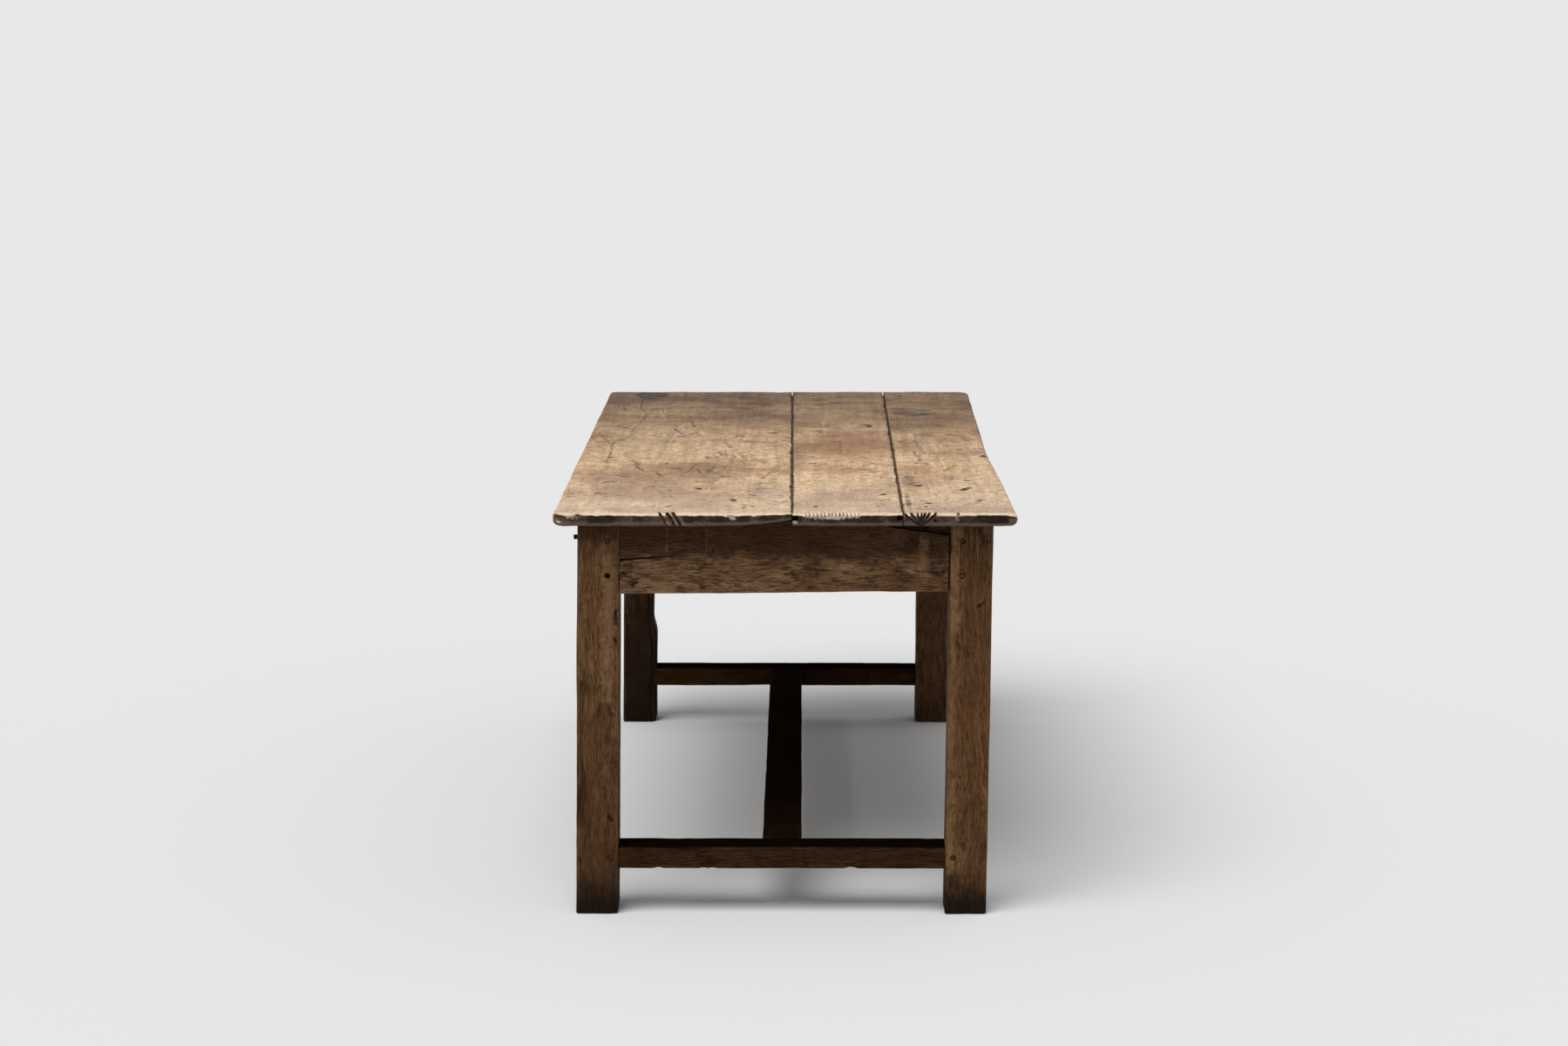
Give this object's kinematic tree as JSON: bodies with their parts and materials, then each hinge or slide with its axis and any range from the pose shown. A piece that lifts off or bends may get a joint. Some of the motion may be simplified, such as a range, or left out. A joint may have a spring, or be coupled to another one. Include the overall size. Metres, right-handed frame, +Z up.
{
  "type": "farmhouse dining table",
  "caption": "Old oak farmhouse dining table: scrubbed plank top on a pegged frame of square legs, deep aprons and a low H stretcher.",
  "frame": {"origin": "on the floor, under the middle of the top", "axes": "+X across the table, +Y along it from the front end to the back end, +Z up"},
  "size_m": [0.828, 2, 0.75],
  "materials": {
    "top_wood": "scrubbed and waxed old oak, worn bright along the arrises",
    "frame_wood": "dark patinated old oak, dry and open grained",
    "peg_wood": "dark whittled oak, end grain showing"
  },
  "bodies": {
    "root": {"apron_back": "frame_wood", "apron_front": "frame_wood", "apron_left": "frame_wood", "apron_right": "frame_wood", "bearer_back": "frame_wood", "bearer_front": "frame_wood", "leg_back_left": "frame_wood", "leg_back_right": "frame_wood", "leg_front_left": "frame_wood", "leg_front_right": "frame_wood", "pegs_apron_back": "peg_wood", "pegs_apron_front": "peg_wood", "pegs_apron_left": "peg_wood", "pegs_apron_right": "peg_wood", "pegs_plank_middle": "peg_wood", "pegs_plank_narrow": "peg_wood", "pegs_plank_wide": "peg_wood", "pegs_stretcher_back": "peg_wood", "pegs_stretcher_front": "peg_wood", "pegs_stretcher_long": "peg_wood", "plank_middle": "top_wood", "plank_narrow": "top_wood", "plank_wide": "top_wood", "stretcher_back": "frame_wood", "stretcher_front": "frame_wood", "stretcher_long": "frame_wood"}
  },
  "joints": []
}
